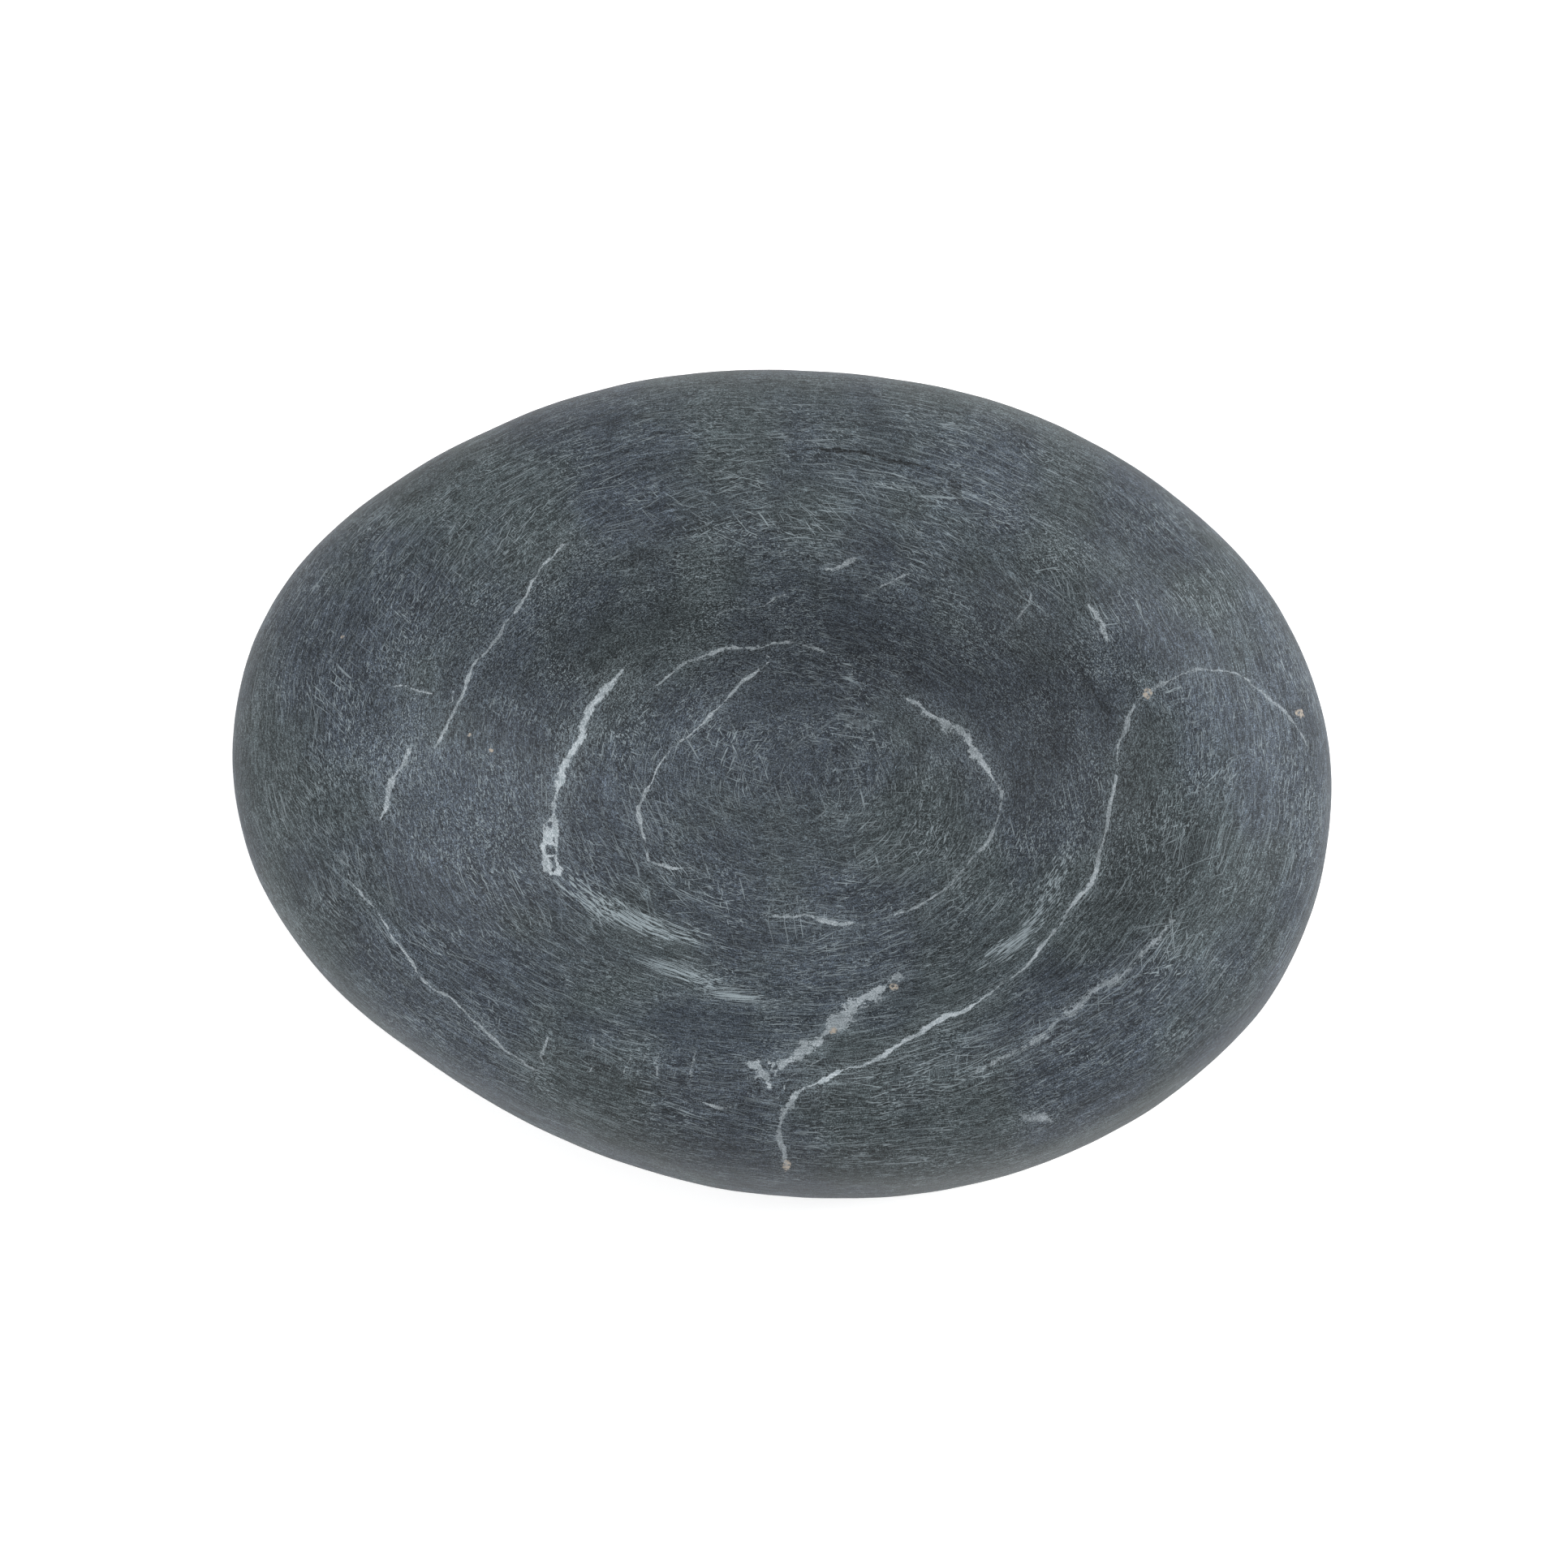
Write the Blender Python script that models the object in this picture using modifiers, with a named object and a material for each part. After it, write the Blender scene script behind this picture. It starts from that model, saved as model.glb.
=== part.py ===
"""Massage stone: one pebble of dark veined stone, flat underneath, with a broad hollow in its top.

Blender 4.5, metres, +Z up. The origin is the middle of the stone's box on the surface it rests on,
with the long axis along X.
"""

from math import cos, pi, radians, sin

import bmesh
import bpy
import numpy as np

# Overall size of the finished stone
LENGTH = 0.100
WIDTH = 0.076
HEIGHT = 0.032

# Cage and its smoothing
CAGE_CELLS = 14  # cells along each side of the cube that the cage starts from
SMOOTHING = 1  # levels of Subdivision Surface

# Pebble: a rounded body before the hollow is worked
OUTLINE_POWER = 2.15  # 2 is an ellipse, more is squarer
SIDE_POWER = 2.8
WIDEST_AT = 0.47  # height of the widest line, as a share of the height
BASE_CUT = 0.0028  # depth of stone lapped away to leave a flat to rest on

# The outline is fuller at the far right, and drawn in at the far left, the near left and the near right:
# (bearing from +X in degrees, spread in degrees, outward shift)
SWELLS = (
    (70, 30, 0.0010),
    (145, 25, -0.0020),
    (222, 34, -0.0035),
    (330, 25, -0.0010),
)

# Hollow: a broad shallow dish
HOLLOW_CENTRE = (-0.002, -0.006)
HOLLOW_HALF_LENGTH = 0.033
HOLLOW_HALF_WIDTH = 0.021
HOLLOW_DEPTH = 0.012
HOLLOW_WALL_POWER = 5  # more gives a flatter floor and a steeper wall

# Soft hills and dips on the worked top: (x, y, half-length, half-width, turn in degrees, height)
HILLS = (
    (0.001, -0.003, 0.020, 0.011, 0, -0.002),
    (0.026, 0.015, 0.009, 0.006, -25, 0.002),
    (-0.027, -0.005, 0.009, 0.008, 0, 0.002),
)
WORKED_FROM = 0.25  # share of the height above the widest line at which the worked top is complete

SLATE = (0.095, 0.108, 0.118, 1.0)
SATIN = 0.55


def clear_scene():
    for old in list(bpy.data.objects):
        bpy.data.objects.remove(old, do_unlink=True)


def smooth_step(share):
    share = np.clip(share, 0, 1)
    return share * share * (3 - 2 * share)


def outline_radius(bearing):
    """Distance from the middle to the widest line, at each bearing."""
    along = np.abs(np.cos(bearing) / (LENGTH / 2)) ** OUTLINE_POWER
    across = np.abs(np.sin(bearing) / (WIDTH / 2)) ** OUTLINE_POWER
    radius = (along + across) ** (-1 / OUTLINE_POWER)
    for centre, spread, shift in SWELLS:
        away = (bearing - radians(centre) + pi) % (2 * pi) - pi
        radius += shift * np.exp(-((away / radians(spread)) ** 2))
    return radius


def hollow_dip(x, y):
    reach = np.hypot(
        (x - HOLLOW_CENTRE[0]) / HOLLOW_HALF_LENGTH, (y - HOLLOW_CENTRE[1]) / HOLLOW_HALF_WIDTH
    )
    return HOLLOW_DEPTH * np.exp(-(reach**HOLLOW_WALL_POWER))


def hill_rise(x, y):
    rise = np.zeros_like(x)
    for centre_x, centre_y, half_length, half_width, turn, height in HILLS:
        along = (x - centre_x) * cos(radians(turn)) + (y - centre_y) * sin(radians(turn))
        across = (y - centre_y) * cos(radians(turn)) - (x - centre_x) * sin(radians(turn))
        rise += height * np.exp(-((along / half_length) ** 2) - (across / half_width) ** 2)
    return rise


def stone_points(directions):
    """Where the stone's surface lies in each direction of a unit ball."""
    bearing = np.arctan2(directions[:, 1], directions[:, 0])
    flat = np.hypot(directions[:, 0], directions[:, 1])
    stretch = (flat**SIDE_POWER + np.abs(directions[:, 2]) ** SIDE_POWER) ** (-1 / SIDE_POWER)
    out = outline_radius(bearing) * flat * stretch
    rise = directions[:, 2] * stretch
    above = HEIGHT * (1 - WIDEST_AT)
    below = HEIGHT * WIDEST_AT + BASE_CUT
    x, y = out * np.cos(bearing), out * np.sin(bearing)
    z = HEIGHT * WIDEST_AT + rise * np.where(rise > 0, above, below)
    z += smooth_step(rise / WORKED_FROM) * (hill_rise(x, y) - hollow_dip(x, y))
    return np.stack([x, y, np.maximum(z, 0)], axis=1)


def points_of(mesh):
    points = np.empty(len(mesh.vertices) * 3)
    mesh.vertices.foreach_get("co", points)
    return points.reshape(-1, 3)


def make_cage(name):
    """A cube cut into a grid, blown up to a ball and then laid on the stone's rule."""
    cage = bmesh.new()
    bmesh.ops.create_cube(cage, size=2)
    bmesh.ops.subdivide_edges(cage, edges=cage.edges, cuts=CAGE_CELLS - 1, use_grid_fill=True)
    grid = np.array([vert.co for vert in cage.verts])
    even = np.tan(grid * pi / 4)
    directions = even / np.linalg.norm(even, axis=1)[:, None]
    for vert, point in zip(cage.verts, stone_points(directions)):
        vert.co = point
    mesh = bpy.data.meshes.new(name)
    cage.to_mesh(mesh)
    cage.free()
    return mesh


def true_to_size(stone):
    """Smoothing draws the cage in, so this stretches it until the smooth stone has its full size."""
    graph = bpy.context.evaluated_depsgraph_get()
    smooth = points_of(stone.evaluated_get(graph).to_mesh())
    low, high = smooth.min(axis=0), smooth.max(axis=0)
    middle = np.array([(low[0] + high[0]) / 2, (low[1] + high[1]) / 2, low[2]])
    grow = np.array([LENGTH, WIDTH, HEIGHT]) / (high - low)
    points = (points_of(stone.data) - middle) * grow
    stone.data.vertices.foreach_set("co", points.ravel())
    stone.data.update()


def slate():
    material = bpy.data.materials.new("dark_stone")
    material.use_nodes = True
    shader = material.node_tree.nodes["Principled BSDF"]
    shader.inputs["Base Color"].default_value = SLATE
    shader.inputs["Roughness"].default_value = SATIN
    shader.inputs["Metallic"].default_value = 0.0
    material.diffuse_color = SLATE
    return material


def make_stone(collection):
    mesh = make_cage("stone")
    mesh.materials.append(slate())
    mesh.shade_smooth()
    stone = bpy.data.objects.new("stone", mesh)
    collection.objects.link(stone)
    smoothing = stone.modifiers.new("smoothing", "SUBSURF")
    smoothing.levels = SMOOTHING
    smoothing.render_levels = SMOOTHING
    bpy.context.view_layer.update()
    true_to_size(stone)


def main():
    clear_scene()
    collection = bpy.data.collections.new("massage_stone")
    bpy.context.scene.collection.children.link(collection)
    make_stone(collection)


main()
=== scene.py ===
from math import cos, pi, radians, sin

import bpy
import numpy as np
from mathutils import Matrix, Vector


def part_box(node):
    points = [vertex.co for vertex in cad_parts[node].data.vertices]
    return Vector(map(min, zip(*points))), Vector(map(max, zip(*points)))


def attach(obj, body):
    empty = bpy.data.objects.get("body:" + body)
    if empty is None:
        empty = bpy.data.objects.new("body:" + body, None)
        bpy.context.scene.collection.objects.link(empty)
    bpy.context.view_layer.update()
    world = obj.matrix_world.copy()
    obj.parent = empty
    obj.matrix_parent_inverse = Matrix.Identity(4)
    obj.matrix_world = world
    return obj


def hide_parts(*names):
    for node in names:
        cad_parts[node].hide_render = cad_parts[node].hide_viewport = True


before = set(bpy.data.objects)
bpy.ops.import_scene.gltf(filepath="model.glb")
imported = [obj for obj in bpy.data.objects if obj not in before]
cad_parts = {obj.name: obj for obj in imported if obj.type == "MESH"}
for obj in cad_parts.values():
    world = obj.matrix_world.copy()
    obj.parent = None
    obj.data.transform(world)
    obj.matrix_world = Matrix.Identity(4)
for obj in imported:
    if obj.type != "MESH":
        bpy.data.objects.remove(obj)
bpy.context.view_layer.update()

# ---------------------------------------------------------------------------------------------
# The stone's body. One pebble of dark slate-like rock, ground to a lopsided oval, lapped flat
# underneath so that it stands, and hollowed on top with a soft wheel. The form is a rule laid on
# a ball: an oval body, the dish pressed into it, and the low hills that handwork leaves.
# ---------------------------------------------------------------------------------------------

MM = 0.001
STONE_LOW, STONE_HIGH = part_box("stone")
LENGTH, WIDTH, HEIGHT = (STONE_HIGH[axis] - STONE_LOW[axis] for axis in range(3))

BODY_CELLS = 126  # cells along each side of the cube that becomes the ball
OUTLINE_POWER = 2.15
SIDE_POWER = 2.8
WIDEST_AT = 0.47
BASE_CUT = 2.8 * MM
# (bearing from +X in degrees, spread in degrees, outward shift)
SWELLS = (
    (70, 30, 1.0 * MM),
    (145, 25, -2.0 * MM),
    (222, 34, -3.5 * MM),
    (330, 25, -1.0 * MM),
)
HOLLOW_CENTRE = (-2 * MM, -6 * MM)
HOLLOW_HALF_LENGTH = 33 * MM
HOLLOW_HALF_WIDTH = 21 * MM
HOLLOW_DEPTH = 12 * MM
HOLLOW_WALL_POWER = 5
WORKED_FROM = 0.25
# (x, y, half-length, half-width, turn in degrees, height)
HILLS = (
    (1 * MM, -3 * MM, 20 * MM, 11 * MM, 0, -2 * MM),
    (26 * MM, 15 * MM, 9 * MM, 6 * MM, -25, 2 * MM),
    (-27 * MM, -5 * MM, 9 * MM, 8 * MM, 0, 2 * MM),
)
WAVE_SIZE = 11 * MM  # slow unevenness left by hand grinding
WAVE_HEIGHT = 0.22 * MM
CHATTER_SIZE = 2.2 * MM  # finer ripple, under the brushing
CHATTER_HEIGHT = 0.035 * MM
BASE_EDGE = (0.2 * MM, 3 * MM)  # heights between which the unevenness fades in, off the lapped flat


class Term:
    """One output of a node. A sum written with Terms adds the nodes that work it out."""

    def __init__(self, tree, socket):
        self.tree, self.socket = tree, socket

    def is_vector(self):
        return self.socket.type in ("VECTOR", "RGBA")

    def maths(self, operation, *others):
        kind = "ShaderNodeVectorMath" if self.is_vector() else "ShaderNodeMath"
        return self.tree.node(kind, {"operation": operation}, dict(enumerate((self, *others))))

    def scaled(self, factor):
        inputs = {0: self, "Scale": factor}
        return self.tree.node("ShaderNodeVectorMath", {"operation": "SCALE"}, inputs)

    def __mul__(self, other):
        alone = not (isinstance(other, tuple) or isinstance(other, Term) and other.is_vector())
        return self.scaled(other) if self.is_vector() and alone else self.maths("MULTIPLY", other)

    def __add__(self, other):
        return self.maths("ADD", other)

    def __sub__(self, other):
        return self.maths("SUBTRACT", other)

    def __truediv__(self, other):
        return self.maths("DIVIDE", other)

    def __pow__(self, other):
        return self.maths("POWER", other)

    __radd__ = __add__
    __rmul__ = __mul__

    def __rsub__(self, other):
        return self * -1 + other

    def __rtruediv__(self, other):
        return self**-1 * other

    def split(self):
        node = self.tree.add("ShaderNodeSeparateXYZ", {}, {0: self})
        return [Term(self.tree, socket) for socket in node.outputs]

    def step(self, low, high):
        """0 below low and 1 above high, with a smooth rise between."""
        settings = {"interpolation_type": "SMOOTHSTEP"}
        inputs = {"Value": self, "From Min": low, "From Max": high}
        return self.tree.node("ShaderNodeMapRange", settings, inputs)


class Tree:
    """A node tree that is written as formulas."""

    def __init__(self, node_tree):
        self.made = node_tree

    def add(self, kind, settings, inputs):
        node = self.made.nodes.new(kind)
        for name, value in settings.items():
            setattr(node, name, value)
        for name, value in inputs.items():
            self.feed(node, name, value)
        return node

    def feed(self, node, name, value):
        """Sets a socket, by place or by name, or links it."""
        if isinstance(name, int):
            socket = node.inputs[name]
        else:
            socket = next(s for s in node.inputs if s.name == name and s.enabled)
        if isinstance(value, Term):
            self.made.links.new(value.socket, socket)
        else:
            socket.default_value = value

    def node(self, kind, settings=None, inputs=None, output=None):
        node = self.add(kind, settings or {}, inputs or {})
        shown = [s for s in node.outputs if s.enabled]
        socket = next(s for s in shown if output in (None, s.name))
        return Term(self, socket)

    def vector(self, x, y, z):
        return self.node("ShaderNodeCombineXYZ", {}, {"X": x, "Y": y, "Z": z})

    def noise(self, place, size, detail=2.0, seed=0.0, output="Fac"):
        """Smooth random values whose lumps are about this size across."""
        settings = {"noise_dimensions": "4D"}
        inputs = {"Vector": place, "W": seed, "Scale": 1 / size, "Detail": detail}
        return self.node("ShaderNodeTexNoise", settings, inputs, output)


def outline_radius(bearing, length, width):
    along = (bearing.maths("COSINE").maths("ABSOLUTE") / (length * 0.5)) ** OUTLINE_POWER
    across = (bearing.maths("SINE").maths("ABSOLUTE") / (width * 0.5)) ** OUTLINE_POWER
    radius = (along + across) ** (-1 / OUTLINE_POWER)
    for centre, spread, shift in SWELLS:
        away = (bearing - radians(centre)).maths("COSINE") - 1
        radius = radius + (away * (2 / radians(spread) ** 2)).maths("EXPONENT") * shift
    return radius


def soft_hill(x, y, centre_x, centre_y, half_length, half_width, turn=0):
    """1 on its middle and nothing a little past its half-length and half-width."""
    east, north = x - centre_x, y - centre_y
    along = (east * cos(radians(turn)) + north * sin(radians(turn))) / half_length
    across = (north * cos(radians(turn)) - east * sin(radians(turn))) / half_width
    return (-1 * (along * along + across * across)).maths("EXPONENT")


def worked_top(x, y, depth):
    """How far the top is raised or sunk from the plain oval body."""
    along = (x - HOLLOW_CENTRE[0]) / HOLLOW_HALF_LENGTH
    across = (y - HOLLOW_CENTRE[1]) / HOLLOW_HALF_WIDTH
    reach = (along * along + across * across) ** (HOLLOW_WALL_POWER / 2)
    lift = (-1 * reach).maths("EXPONENT") * (-1 * depth)
    for centre_x, centre_y, half_length, half_width, turn, height in HILLS:
        lift = lift + soft_hill(x, y, centre_x, centre_y, half_length, half_width, turn) * height
    return lift


def stone_form():
    """The node tree that lays the stone's rule on a cube of many cells."""
    group = bpy.data.node_groups.new("stone_form", "GeometryNodeTree")
    panel = group.interface
    for name, value in (
        ("Length", LENGTH),
        ("Width", WIDTH),
        ("Height", HEIGHT),
        ("Hollow depth", HOLLOW_DEPTH),
        ("Base cut", BASE_CUT),
        ("Wave height", WAVE_HEIGHT),
        ("Chatter height", CHATTER_HEIGHT),
    ):
        size = panel.new_socket(name, in_out="INPUT", socket_type="NodeSocketFloat")
        size.default_value = value
    panel.new_socket("Cells", in_out="INPUT", socket_type="NodeSocketInt")
    panel.new_socket("Finish", in_out="INPUT", socket_type="NodeSocketMaterial")
    panel.new_socket("Stone", in_out="OUTPUT", socket_type="NodeSocketGeometry")
    t = Tree(group)
    entry = group.nodes.new("NodeGroupInput")
    given = {socket.name: Term(t, socket) for socket in entry.outputs}

    sides = {name: given["Cells"] for name in ("Vertices X", "Vertices Y", "Vertices Z")}
    cube = t.node("GeometryNodeMeshCube", {}, {"Size": (2, 2, 2), **sides}, "Mesh")
    x, y, z = (t.node("GeometryNodeInputPosition") * (pi / 4)).split()
    even = t.vector(x.maths("TANGENT"), y.maths("TANGENT"), z.maths("TANGENT"))
    x, y, z = even.maths("NORMALIZE").split()

    height = given["Height"]
    bearing = y.maths("ARCTAN2", x)
    flat = (x * x + y * y) ** 0.5
    stretch = (flat**SIDE_POWER + z.maths("ABSOLUTE") ** SIDE_POWER) ** (-1 / SIDE_POWER)
    out = outline_radius(bearing, given["Length"], given["Width"]) * flat * stretch
    rise = z * stretch
    x, y = out * bearing.maths("COSINE"), out * bearing.maths("SINE")
    above = rise.maths("MAXIMUM", 0) * height * (1 - WIDEST_AT)
    below = rise.maths("MINIMUM", 0) * (height * WIDEST_AT + given["Base cut"])
    worked = worked_top(x, y, given["Hollow depth"]) * rise.step(0, WORKED_FROM)
    z = (height * WIDEST_AT + above + below + worked).maths("MAXIMUM", 0)
    rough = t.node(
        "GeometryNodeSetPosition", {}, {"Geometry": cube, "Position": t.vector(x, y, z)}
    )

    box = t.add("GeometryNodeBoundBox", {}, {"Geometry": rough})
    low, high = Term(t, box.outputs["Min"]), Term(t, box.outputs["Max"])
    foot = (low + high) * t.vector(0.5, 0.5, 0.0) + low * t.vector(0.0, 0.0, 1.0)
    full = t.vector(given["Length"], given["Width"], height)
    place = (t.node("GeometryNodeInputPosition") - foot) * full / (high - low)
    sized = t.node("GeometryNodeSetPosition", {}, {"Geometry": rough, "Position": place})

    place = t.node("GeometryNodeInputPosition")
    waves = (t.noise(place, WAVE_SIZE, 1.0, 3.0) - 0.5) * given["Wave height"] * 2
    chatter = (t.noise(place, CHATTER_SIZE, 2.0, 8.0) - 0.5) * given["Chatter height"] * 2
    off_base = place.split()[2].step(*BASE_EDGE)
    normal = t.node("GeometryNodeInputNormal")
    lift = normal * ((waves + chatter) * off_base)
    stone = t.node("GeometryNodeSetPosition", {}, {"Geometry": sized, "Offset": lift})
    smooth = t.node("GeometryNodeSetShadeSmooth", {}, {"Geometry": stone})
    whole = t.node("GeometryNodeRealizeInstances", {}, {"Geometry": smooth})
    dressed = t.node(
        "GeometryNodeSetMaterial", {}, {"Geometry": whole, "Material": given["Finish"]}
    )
    t.feed(group.nodes.new("NodeGroupOutput"), "Stone", dressed)
    return group


# ---------------------------------------------------------------------------------------------
# Veins. Thin seams of white calcite break out at the surface, some clean and some crumbly. Each is
# a wandering arc dropped onto the stone from above or below, and the stone's points carry the way
# to the nearest one, which the finish turns into a line of the right width.
# ---------------------------------------------------------------------------------------------

# name: (half-width in mm, whiteness, how crumbly, start, end, bulge to the left of the way in mm).
# A negative whiteness is painted shade: a dark line where a crack, a pit or a crease would lie in shade.
VEINS_ABOVE = {
    "bow": (0.36, 0.9, 0.9, (-15, 7), (-19, -12), -2.5),
    "bow_foot": (0.42, 0.9, 1.0, (-20, -6), (-20, -12), -0.5),
    "bow_cap": (0.17, 0.6, 1.1, (-12, 6), (3, 10), 2),
    "hook": (0.18, 0.65, 0.2, (-2, 9), (-10, 1), 0),
    "hook_shaft": (0.2, 0.65, 0.15, (-10, 1), (-11, -10), -1.5),
    "hook_barb": (0.14, 0.7, 0.5, (-11, -10), (-7, -10), 0),
    "chain": (0.42, 0.8, 1.2, (10, 7), (20, -1), 1),
    "floor_edge": (0.18, 0.45, 0.8, (20, -2), (11, -13), 2),
    "floor_crumbs": (0.2, 0.6, 1.0, (0, -14), (8, -14), 0),
    "seam_head": (0.2, 0.6, 0.9, (32, 7), (30, 1), -1),
    "seam": (0.22, 0.75, 0.5, (30, 1), (21, -20), 2.5),
    "seam_belly": (0.3, 0.95, 0.6, (21, -20), (5, -31), 0.5),
    "ribbon": (0.9, 0.7, 1.4, (12, -19), (3, -29), 0),
    "ribbon_blot": (0.5, 0.7, 1.4, (0, -29), (2, -31), 0),
    "rim_hook": (0.3, 0.55, 1.1, (5, -31), (4, -37), -1),
    "left_line": (0.18, 0.6, 0.3, (-38, -14), (-19, -31), -1.5),
    "left_speck": (0.28, 0.85, 0.9, (-33, -3), (-35, -10), 0),
    "far_line": (0.18, 0.65, 0.4, (-21, 16), (-31, -3), -1),
    "far_left_dash": (0.1, 0.5, 0.6, (-35, 2), (-31, 2), 0),
    "far_dash": (0.11, 0.5, 0.6, (-7, 12), (-1, 14), 0),
    "far_wedge": (0.25, 0.6, 1.2, (2, 16), (5, 17), 0),
    "far_tick": (0.12, 0.5, 0.8, (6, 14), (10, 16), 0),
    "right_tick": (0.11, 0.4, 0.7, (19, 11), (21, 15), 0),
    "shoulder_crumbs": (0.22, 0.5, 1.3, (26, 14), (28, 11), 0),
    "right_chain": (0.2, 0.5, 0.8, (32, 7), (47, 5), 4),
    "pale_chain": (0.3, 0.35, 1.6, (36, -13), (20, -28), 1),
    "near_dash": (0.14, 0.55, 1.0, (-4, -33), (-1, -33), 0),
    "near_specks": (0.3, 0.5, 1.4, (24, -31), (27, -31), 0),
    # rim_crevice, rim_pit and shoulder_crease are painted shade, darkening where a crack, a pit and a
    # crease would lie in shade
    "rim_crevice": (0.18, -0.7, 1.2, (-3, 26), (11, 26), 1),
    "rim_pit": (0.5, -0.5, 1.4, (13, 25), (14, 23), 0),
    "shoulder_crease": (0.4, -0.35, 0.8, (24, 10), (29, 5), 0),
}
NEAR_TICKS = (-18, -14, -11, -8, -5)  # x in mm of the short pale nicks across the near rim
NEAR_TICK_LOW, NEAR_TICK_HIGH = -31, -28
for count, tick_x in enumerate(NEAR_TICKS):
    ends = (tick_x, NEAR_TICK_HIGH), (tick_x, NEAR_TICK_LOW)
    VEINS_ABOVE[f"near_tick_{count}"] = (0.15, 0.45, 0.7, *ends, 0)
VEINS_BELOW = {
    "under_seam": (0.2, 0.7, 0.6, (-41, 12), (25, -28), 6),
    "under_ribbon": (0.5, 0.7, 1.5, (-28, 12), (-16, -6), 2),
    "under_fork": (0.12, 0.6, 0.6, (-12, 6), (-9, -29), 3),
    "under_line": (0.1, 0.5, 0.6, (14, 33), (43, 2), -4),
}
VEIN_DROP = 60 * MM  # height that the paths start from, clear of the stone
VEIN_STEP = 0.2 * MM
VEIN_TAPER = 0.6  # width left at a vein's ends, as a share of its middle
VEIN_SWAYS = ((12, 0.3), (5, 0.15), (2, 0.06))  # (length of a sway, how far it strays), in mm
VEIN_SEED = 7
TOP_EDGE = (0.3 * HEIGHT, 0.5 * HEIGHT)  # heights between which the top's patches fade in


def wandering_arc(start, end, bulge, chance):
    """Places along an arc that strays to either side, and the share of the way along at each."""
    start, way = np.array(start), np.array(end) - np.array(start)
    reach = float(np.linalg.norm(way))
    share = np.linspace(0, 1, max(8, int(reach * MM / VEIN_STEP)))
    stray = 4 * bulge * share * (1 - share)
    for length, sway in VEIN_SWAYS:
        stray += sway * np.sin(pi * share) * np.sin(2 * pi * (share * reach / length + chance.random()))
    left = np.array((-way[1], way[0])) / reach
    return (start + share[:, None] * way + stray[:, None] * left) * MM, share


def vein_paths():
    """Every vein as a run of edges. Each point carries its half-width in mm, whiteness and crumble."""
    places, edges, looks = [], [], []
    chance = np.random.default_rng(VEIN_SEED)
    for veins, height in ((VEINS_ABOVE, VEIN_DROP), (VEINS_BELOW, -VEIN_DROP)):
        for half_width, whiteness, crumble, start, end, bulge in veins.values():
            path, share = wandering_arc(start, end, bulge, chance)
            first = len(places)
            places += [(x, y, height) for x, y in path]
            edges += [(first + i, first + i + 1) for i in range(len(path) - 1)]
            taper = VEIN_TAPER + (1 - VEIN_TAPER) * np.sin(pi * share)
            looks += [(half_width * narrow, whiteness, crumble) for narrow in taper]
    mesh = bpy.data.meshes.new("vein_paths")
    mesh.from_pydata(places, edges, [])
    carried = mesh.attributes.new("look", "FLOAT_VECTOR", "POINT")
    carried.data.foreach_set("vector", np.ravel(looks))
    paths = bpy.data.objects.new("vein_paths", mesh)
    bpy.context.scene.collection.objects.link(paths)
    return paths


# Soft patches on the top, (x, y, half-length, half-width, turn, amount). Tone is partly cloud in the rock,
# lighter or darker, and partly painted light and shade: painted shade on the far and right inner walls of
# the hollow, painted light on the hollow's left end and on the right rim. Smear is where the wheel left the
# surface scuffed and whitish.
TONE_PAINTED_LIGHT_AND_SHADE = (
    (-20, 7, 8, 3, 20, -0.25),
    (4, 10, 16, 3, -5, -0.38),
    (-30, -5, 8, 6, 0, 0.4),
    (-16, -3, 5, 3, 20, 0.15),
    (-9, 4, 3, 2, 0, 0.25),
    (-5, -1, 5, 3, 15, 0.1),
    (40, 3, 6, 10, 0, 0.5),
    (33, -8, 4, 9, -15, -0.35),
    (39, -14, 3, 8, -25, 0.2),
    (5, -37, 26, 4, 0, -0.2),
    (17, -16, 6, 3, 30, -0.2),
    (24, 2, 3, 8, 0, -0.3),
    (-20, -17, 6, 3, -20, -0.15),
)
SMEARS = (
    (-10, -16, 7, 1.5, -12, 1.3),
    (-7, -20, 4, 1, -8, 1.4),
    (-2, -22, 4, 1, -8, 1.3),
    (24, -13, 5, 1, 60, 1.1),
    (26, -7, 4, 1, 65, 1.0),
    (21, -16, 3, 1, 45, 1.0),
    (-17, -13, 4, 1.5, -25, 0.9),
    (-30, -5, 6, 5, -30, 0.55),
    (6, -18, 6, 2, 8, 0.35),
    (27, 19, 4, 2, -15, 0.35),
    (27, 13, 3, 2, -40, 0.4),
    (36, 12, 3, 3, -30, 0.3),
    (-36, 15, 5, 2, 35, 0.3),
)
CRACKLE_PATCH = (4, 2, 9, 6)  # (x, y, half-length, half-width) in mm of the hair-cracked floor


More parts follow.
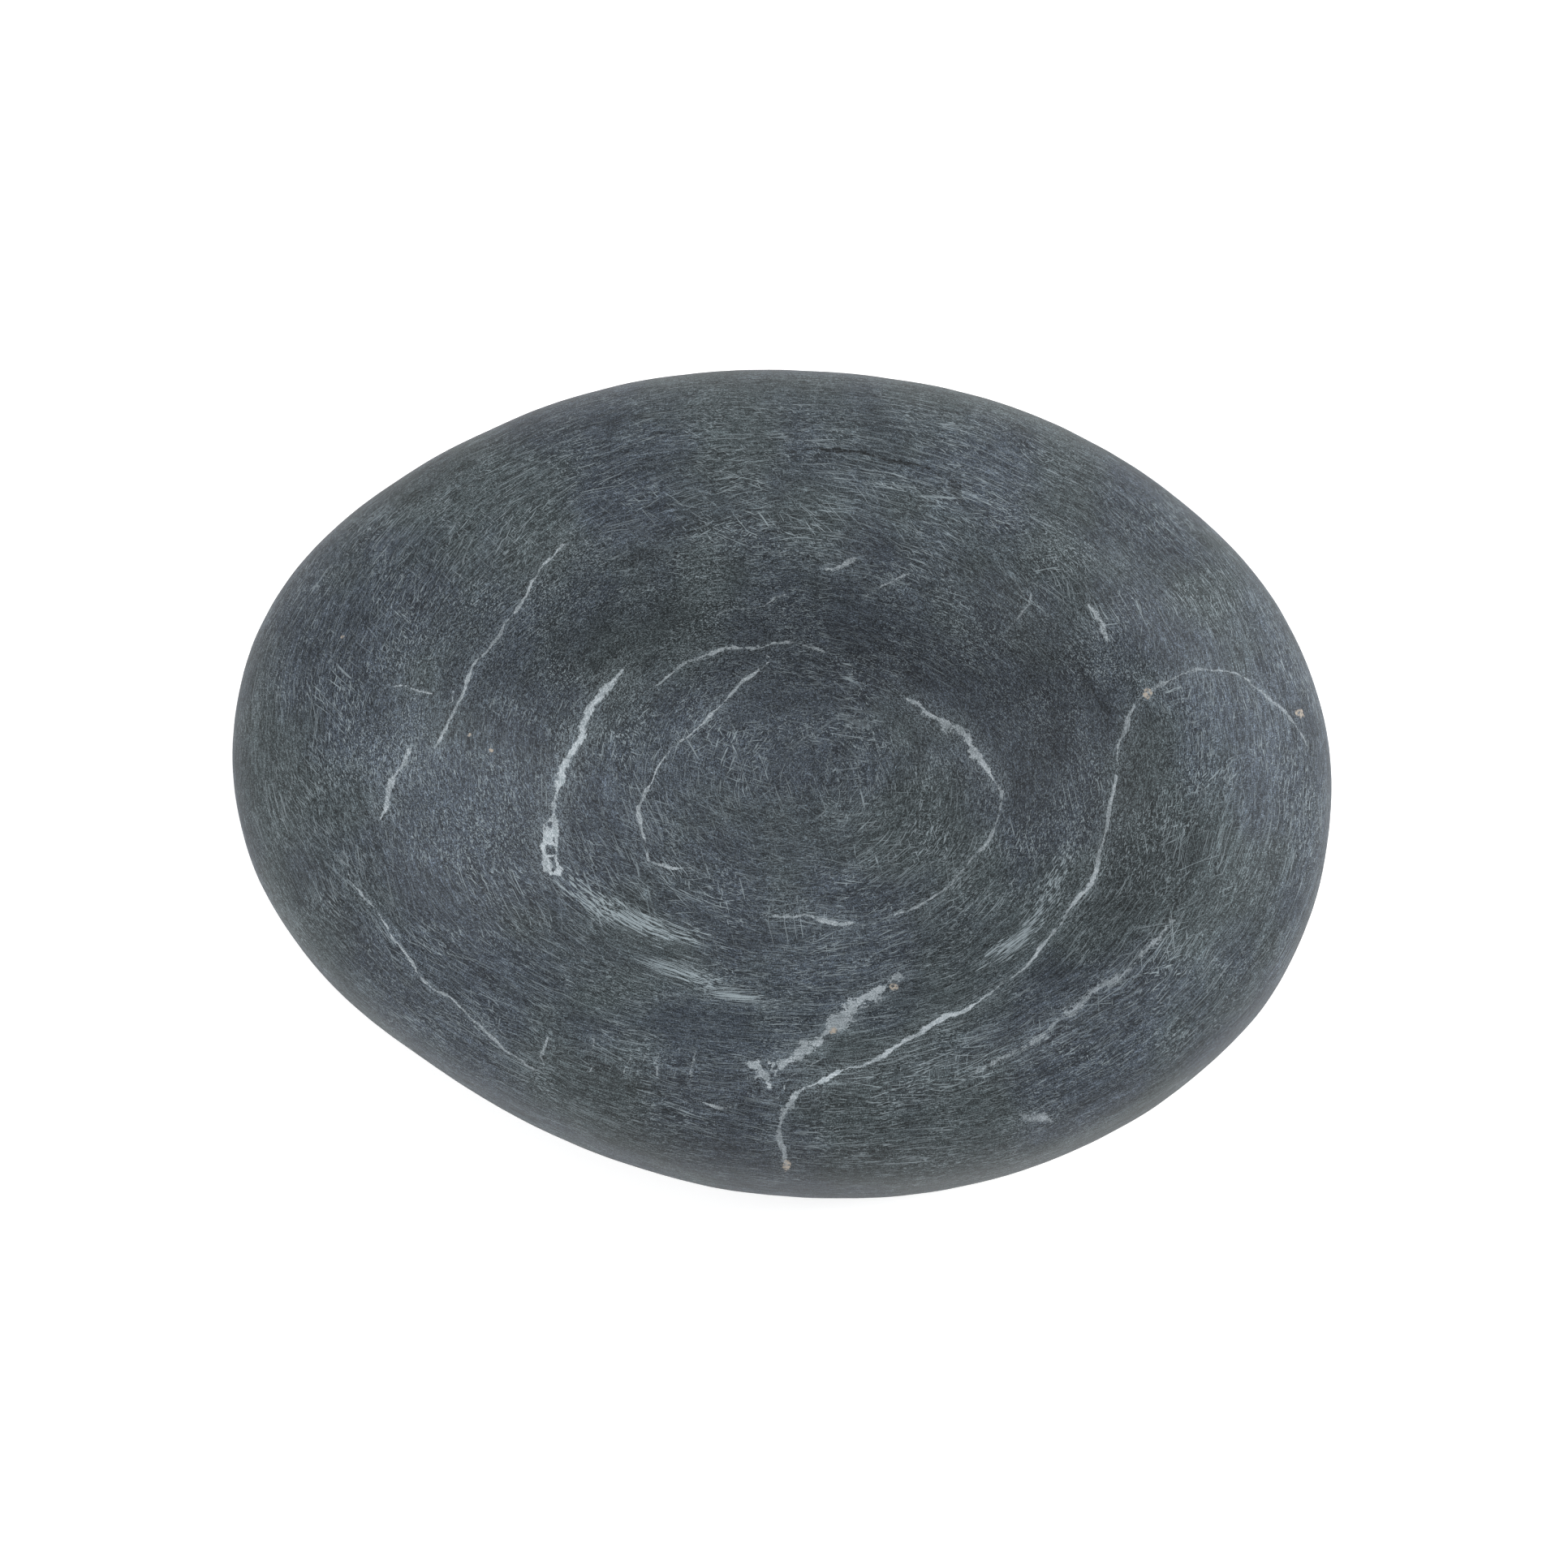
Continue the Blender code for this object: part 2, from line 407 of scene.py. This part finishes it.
def vein_marks():
    """The node tree that gives the stone's points their way to the nearest vein and their patches."""
    group = bpy.data.node_groups.new("vein_marks", "GeometryNodeTree")
    panel = group.interface
    panel.new_socket("Stone", in_out="INPUT", socket_type="NodeSocketGeometry")
    panel.new_socket("Paths", in_out="INPUT", socket_type="NodeSocketObject")
    panel.new_socket("Stone", in_out="OUTPUT", socket_type="NodeSocketGeometry")
    t = Tree(group)
    entry = group.nodes.new("NodeGroupInput")
    stone = Term(t, entry.outputs["Stone"])
    given = {"Object": Term(t, entry.outputs["Paths"])}
    loose = t.node("GeometryNodeObjectInfo", {}, given, "Geometry")
    start = t.node("GeometryNodeInputPosition")
    down = t.vector(0.0, 0.0, -1 * start.split()[2])
    landed = t.node(
        "GeometryNodeRaycast",
        {},
        {"Target Geometry": stone, "Source Position": start, "Ray Direction": down},
        "Hit Position",
    )
    veins = t.node("GeometryNodeSetPosition", {}, {"Geometry": loose, "Position": landed})
    near = t.add("GeometryNodeProximity", {"target_element": "EDGES"}, {0: veins})
    place = t.node("GeometryNodeInputPosition")
    reach = (Term(t, near.outputs["Position"]) - place) * (1 / MM)
    nearest = t.node("GeometryNodeSampleNearest", {"domain": "POINT"}, {"Geometry": veins})
    sampled = {"data_type": "FLOAT_VECTOR"}
    look = t.node("GeometryNodeInputNamedAttribute", sampled, {"Name": "look"}, "Attribute")
    inputs = {"Geometry": veins, "Value": look, "Index": nearest}
    look = t.node("GeometryNodeSampleIndex", sampled, inputs, "Value")

    x, y, z = (place * (1 / MM)).split()
    top = z.step(*(height / MM for height in TOP_EDGE))
    patches = {}
    # tone holds the rock's clouds together with painted shade and painted light; smear holds the whitish
    # scuffing
    for name, spots in (("tone", TONE_PAINTED_LIGHT_AND_SHADE), ("smear", SMEARS)):
        total = top * 0
        for centre_x, centre_y, half_length, half_width, turn, amount in spots:
            total = total + soft_hill(x, y, centre_x, centre_y, half_length, half_width, turn) * amount
        patches[name] = total * top
    patches["crackle"] = soft_hill(x, y, *CRACKLE_PATCH) * top
    near_by = Term(t, near.outputs["Distance"]) / MM
    for name, value in {"vein_reach": reach, "vein_look": look, "vein_far": near_by, **patches}.items():
        settings = sampled if value.is_vector() else {}
        inputs = {"Geometry": stone, "Name": name, "Value": value}
        stone = t.node("GeometryNodeStoreNamedAttribute", settings, inputs)
    t.feed(group.nodes.new("NodeGroupOutput"), "Stone", stone)
    return group


# ---------------------------------------------------------------------------------------------
# The finish. Fine-grained dark rock, blue-grey with greener clouds, brushed with an abrasive
# wheel: hair scratches sweep round the hollow and along the rim, and the surface is satin.
# ---------------------------------------------------------------------------------------------

BLUE_SLATE = (0.027, 0.034, 0.043, 1.0)
GREEN_SLATE = (0.030, 0.038, 0.041, 1.0)
PALE_DUST = (0.22, 0.26, 0.28, 1.0)
CALCITE = (0.44, 0.48, 0.51, 1.0)
BEIGE = (0.30, 0.265, 0.225, 1.0)
SPECULAR = 0.2
GRAIN = 0.09  # mm across one grain
MOTTLE = 1.6  # mm across one mottle
CLOUD = 14.0  # mm across one cloud of bluer or greener rock
PATCH = 5.0  # mm across one patch of more, or fewer, hair scratches
GRAIN_CONTRAST = 8.5
BAND_CONTRAST = 1.4
MOTTLE_CONTRAST = 0.7
SATIN = 0.52  # roughness where the brushing is smoothest
RELIEF = 0.06 * MM  # height of the grain and scratches
RELIEF_STRENGTH = 0.35
VEIN_REACH = (1.4, 2.0)  # distances in mm between which a vein's mark on the stone fades out
# (middle x, middle y, roundness of the oval, stroke length, stroke width, seed), in mm
FELT = (0.0, 1.0, 1.25, 0.8, 0.09, 9.0)
BANDS = (0.0, 0.0, 1.25, 9.0, 0.9, 1.0)
SCUFFS = (0.0, 2.0, 1.25, 4.0, 0.11, 7.0)
DARK_HAIRS = (3.0, 3.0, 1.3, 4.0, 0.15, 6.0)
HAIRS = (
    (-1, -2, 1.35, 9.0, 0.1, 2),
    (6, -1, 1.3, 7.0, 0.1, 3),
    (-12, 6, 1.2, 8.0, 0.1, 4),
    (1, 12, 1.5, 7.0, 0.1, 5),
    (4, -1, 1.0, 5.0, 0.1, 8),
    (10, 60, 1.0, 5.0, 0.1, 10),
    (-60, -30, 1.0, 5.0, 0.1, 11),
)
STROKE_RADIUS = 25.0  # distance from the middle, in mm, at which strokes have their stated length
# Beige flecks beside the veins: (x, y, radius) in mm
FLECKS = (
    (32, 7, 0.5),
    (46, 8, 0.5),
    (12, -20, 0.4),
    (7, -25, 0.4),
    (4, -37, 0.4),
    (-40, 6, 0.2),
    (-28, -1, 0.2),
    (-26, -2, 0.2),
)
CRACKLE_SIZE = 3.0  # mm between hair cracks in the floor
BEND = 2.0  # mm that strokes are pushed off their ovals, so that the brushing isn't lathe-true


def mix(t, share, first, second):
    settings = {"data_type": "RGBA"}
    return t.node("ShaderNodeMix", settings, {"Factor": share, "A": first, "B": second})


def strokes(t, place, middle_x, middle_y, roundness, length, width, seed):
    """Random values drawn out along ovals round a middle, as the wheel's scratches are."""
    x, y, z = place.split()
    x, y = x - middle_x, (y - middle_y) * roundness
    reach = (x * x + y * y) ** 0.5 + 0.5
    turn = STROKE_RADIUS / length
    around = t.vector(x / reach * turn, y / reach * turn, reach / width)
    settings = {"noise_dimensions": "4D"}
    inputs = {"Vector": around, "W": z / width + seed * 17, "Scale": 1.0, "Detail": 1.0}
    return t.node("ShaderNodeTexNoise", settings, inputs, "Fac")


def attribute(t, name, output="Fac"):
    return t.node("ShaderNodeAttribute", {"attribute_name": name}, {}, output)


def contrast(value, strength):
    """1 where a random value is middling, and lighter or darker by the same factor on either side."""
    return ((value - 0.5) * strength).maths("EXPONENT")


def seams(t, place):
    """How much white vein shows, how much painted shade lies along cracks, pits and creases, and the dust
    beside the veins.
    """
    half_width, white, crumble = attribute(t, "vein_look", "Vector").split()
    near = 1 - attribute(t, "vein_far").step(*VEIN_REACH)
    wander = (t.noise(place, 2.0, 2.0, 5.0, "Color") - (0.5, 0.5, 0.5)) * 0.45
    shiver = (t.noise(place, 0.35, 2.0, 11.0, "Color") - (0.5, 0.5, 0.5)) * 0.25
    away = (attribute(t, "vein_reach", "Vector") + wander + shiver).maths("LENGTH")
    swell = 0.35 + t.noise(place, 1.8, 2.0, 6.0).step(0.3, 0.7) * 1.3
    body = 1 - away / (half_width * swell)
    fine = (t.noise(place, 0.18, 2.0, 7.0) - 0.5) * 2.0
    coarse = (t.noise(place, 0.8, 3.0, 12.0) - 0.5) * 3.2
    filled = (body + (fine + coarse) * crumble * 0.8).step(0.0, 0.5) * near
    shown = filled * (0.55 + t.noise(place, 3.0, 2.0, 15.0).step(0.35, 0.6) * 0.45)
    dust = (away / (half_width * -4)).maths("EXPONENT") * near * white.maths("MAXIMUM", 0)
    return shown * white.maths("MAXIMUM", 0), filled * white.maths("MINIMUM", 0) * -1, dust


def flecks(t, place):
    x, y, z = (place + (t.noise(place, 0.4, 2.0, 13.0, "Color") - (0.5, 0.5, 0.5)) * 0.6).split()
    found = x * 0
    ragged = t.noise(place, 0.25, 2.0, 14.0).step(0.35, 0.6)
    for centre_x, centre_y, radius in FLECKS:
        east, north = x - centre_x, y - centre_y
        inside = 1 - (east * east + north * north) ** 0.5 / radius
        found = found.maths("MAXIMUM", inside)
    return found.step(0.0, 0.3) * ragged * z.step(8, 10)


def stone_finish():
    material = bpy.data.materials.new("brushed_dark_stone")
    material.use_nodes = True
    t = Tree(material.node_tree)
    shader = material.node_tree.nodes["Principled BSDF"]
    place = t.node("ShaderNodeTexCoord", {}, {}, "Object") * (1 / MM)

    bent = place + (t.noise(place, 9.0, 2.0, 21.0, "Color") - (0.5, 0.5, 0.5)) * BEND
    grain = t.noise(place, GRAIN, 1.0, 3.0) * 0.6 + strokes(t, bent, *FELT) * 0.4
    mottle = t.noise(place, MOTTLE, 4.0, 2.0)
    clouds = t.noise(place, CLOUD, 3.0, 1.0)
    rock = mix(t, clouds.step(0.42, 0.6), BLUE_SLATE, GREEN_SLATE)
    bands = contrast(strokes(t, bent, *BANDS), BAND_CONTRAST)
    shade = contrast(grain, GRAIN_CONTRAST) * bands * contrast(mottle, MOTTLE_CONTRAST)
    # The tone patches darken the far and right inner walls with painted shade and lighten the hollow's left
    # end and the right rim with painted light, as well as giving the rock's clouds
    rock = rock * (shade * (1 + attribute(t, "tone")))

    patchy = t.noise(place, PATCH, 2.0, 4.0).step(0.35, 0.7)
    hairs = patchy * 0
    for family in HAIRS:
        hairs = hairs.maths("MAXIMUM", strokes(t, bent, *family).step(0.64, 0.72))
    dark_hairs = 1 - strokes(t, bent, *DARK_HAIRS).step(0.26, 0.4)
    smear = attribute(t, "smear")
    scuffs = (strokes(t, bent, *SCUFFS) + smear * 0.22 - 0.22).step(0.5, 0.6) * smear.step(0, 0.5)
    scuffed = (hairs * (0.3 + patchy * 0.6) + scuffs * contrast(grain, 3.0) * 0.95).maths("MINIMUM", 1)
    seam, crevice_shade, dust = seams(t, place)
    fleck = flecks(t, place)
    settings = {"feature": "DISTANCE_TO_EDGE"}
    gap = t.node("ShaderNodeTexVoronoi", settings, {"Vector": bent, "Scale": 1 / CRACKLE_SIZE}, "Distance")
    crackle = (1 - gap.step(0.01, 0.045)) * attribute(t, "crackle") * patchy

    colour = mix(t, scuffed, rock, PALE_DUST)
    colour = colour * (1 - dark_hairs * 0.3)
    colour = mix(t, dust * grain.step(0.45, 0.6) * 0.5, colour, PALE_DUST)
    colour = mix(t, crackle * 0.3, colour, PALE_DUST)
    colour = mix(t, seam, colour, mix(t, grain.step(0.4, 0.6), PALE_DUST, CALCITE))
    # Painted shade darkens the cracks, the rim pit and the shoulder crease
    colour = mix(t, fleck, colour, BEIGE) * (1 - crevice_shade)
    t.feed(shader, "Base Color", colour)
    t.feed(shader, "Roughness", SATIN + grain * 0.16 + seam * 0.15 + scuffed * 0.15)
    height = grain + hairs * 0.5 - dark_hairs * 0.5 + mottle * 0.8 - seam * 0.4 - crevice_shade * 4
    bump = t.node("ShaderNodeBump", {}, {"Strength": RELIEF_STRENGTH, "Distance": RELIEF, "Height": height})
    t.feed(shader, "Normal", bump)
    shader.inputs["Specular IOR Level"].default_value = SPECULAR
    return material


def applied(name, group, values, *more):
    """Runs node trees on a fresh object, one after the other, and keeps the plain mesh they make."""
    blank = bpy.data.objects.new(name, bpy.data.meshes.new(name))
    bpy.context.scene.collection.objects.link(blank)
    for tree, given in ((group, values), *more):
        modifier = blank.modifiers.new(tree.name, "NODES")
        modifier.node_group = tree
        keys = {item.name: item.identifier for item in tree.interface.items_tree if item.in_out == "INPUT"}
        for key, value in given.items():
            modifier[keys[key]] = value
    graph = bpy.context.evaluated_depsgraph_get()
    mesh = bpy.data.meshes.new_from_object(blank.evaluated_get(graph))
    finish = next(material for material in mesh.materials if material)
    mesh.materials.clear()
    mesh.materials.append(finish)
    mesh.polygons.foreach_set("material_index", [0] * len(mesh.polygons))
    bpy.data.objects.remove(blank)
    made = bpy.data.objects.new(name, mesh)
    bpy.context.scene.collection.objects.link(made)
    return made


paths = vein_paths()
stone = applied(
    "carved_stone",
    stone_form(),
    {"Cells": BODY_CELLS + 1, "Finish": stone_finish()},
    (vein_marks(), {"Paths": paths}),
)
bpy.data.objects.remove(paths)
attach(stone, "root")
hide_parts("stone")


# ---------------------------------------------------------------------------------------------
# The studio: a white table in a white room, a broad soft light to the stone's right, a weaker one
# facing it, and a long lens looking steeply down.
# ---------------------------------------------------------------------------------------------

FLOOR_HALF = 3.0
CAMERA_ELEVATION = radians(75)
CAMERA_TURN = radians(5.5)
LENS = 135
SENSOR = 36
VIEW_WIDTH = 1.426 * LENGTH
AIM = Vector((0.3 * MM, -0.8 * MM, HEIGHT / 2))
ROOM_LIGHT = 0.55
TABLE_WHITE = (0.9, 0.9, 0.9, 1)
TABLE_GLOW = 0.38
LAMP_SIZE = 0.7
LAMP_DISTANCE = 1.0
LAMP_RISE = radians(35)
LAMPS = ((25, 12), (205, 7))  # (bearing from +X in degrees, watts)


def studio():
    table = bpy.data.meshes.new("table")
    corners = [(-1, -1), (1, -1), (1, 1), (-1, 1)]
    table.from_pydata([(x * FLOOR_HALF, y * FLOOR_HALF, 0) for x, y in corners], [], [(0, 1, 2, 3)])
    white = bpy.data.materials.new("white_table")
    white.use_nodes = True
    paint = white.node_tree.nodes["Principled BSDF"].inputs
    paint["Base Color"].default_value = TABLE_WHITE
    paint["Roughness"].default_value = 1.0
    paint["Emission Color"].default_value = (1, 1, 1, 1)
    paint["Emission Strength"].default_value = TABLE_GLOW
    table.materials.append(white)
    floor = bpy.data.objects.new("table", table)
    bpy.context.scene.collection.objects.link(floor)

    world = bpy.data.worlds.new("white_room")
    world.use_nodes = True
    world.node_tree.nodes["Background"].inputs["Color"].default_value = (1, 1, 1, 1)
    world.node_tree.nodes["Background"].inputs["Strength"].default_value = ROOM_LIGHT
    bpy.context.scene.world = world

    for bearing, watts in LAMPS:
        softbox = bpy.data.lights.new("softbox", "AREA")
        softbox.size = LAMP_SIZE
        softbox.energy = watts
        lamp = bpy.data.objects.new("softbox", softbox)
        flat = cos(LAMP_RISE)
        way = Vector((flat * cos(radians(bearing)), flat * sin(radians(bearing)), sin(LAMP_RISE)))
        lamp.location = AIM + way * LAMP_DISTANCE
        lamp.rotation_euler = way.to_track_quat("Z", "Y").to_euler()
        bpy.context.scene.collection.objects.link(lamp)


def camera():
    ahead = Vector((-sin(CAMERA_TURN), cos(CAMERA_TURN), 0))
    look = ahead * cos(CAMERA_ELEVATION) - Vector((0, 0, sin(CAMERA_ELEVATION)))
    right = Vector((cos(CAMERA_TURN), sin(CAMERA_TURN), 0))
    data = bpy.data.cameras.new("camera")
    data.lens, data.sensor_width = LENS, SENSOR
    eye = bpy.data.objects.new("camera", data)
    turned = Matrix((right, right.cross(look), -look)).transposed().to_4x4()
    turned.translation = AIM - look * (VIEW_WIDTH * LENS / SENSOR)
    eye.matrix_world = turned
    bpy.context.scene.collection.objects.link(eye)
    bpy.context.scene.camera = eye


studio()
camera()
bpy.context.scene.view_settings.view_transform = "Standard"
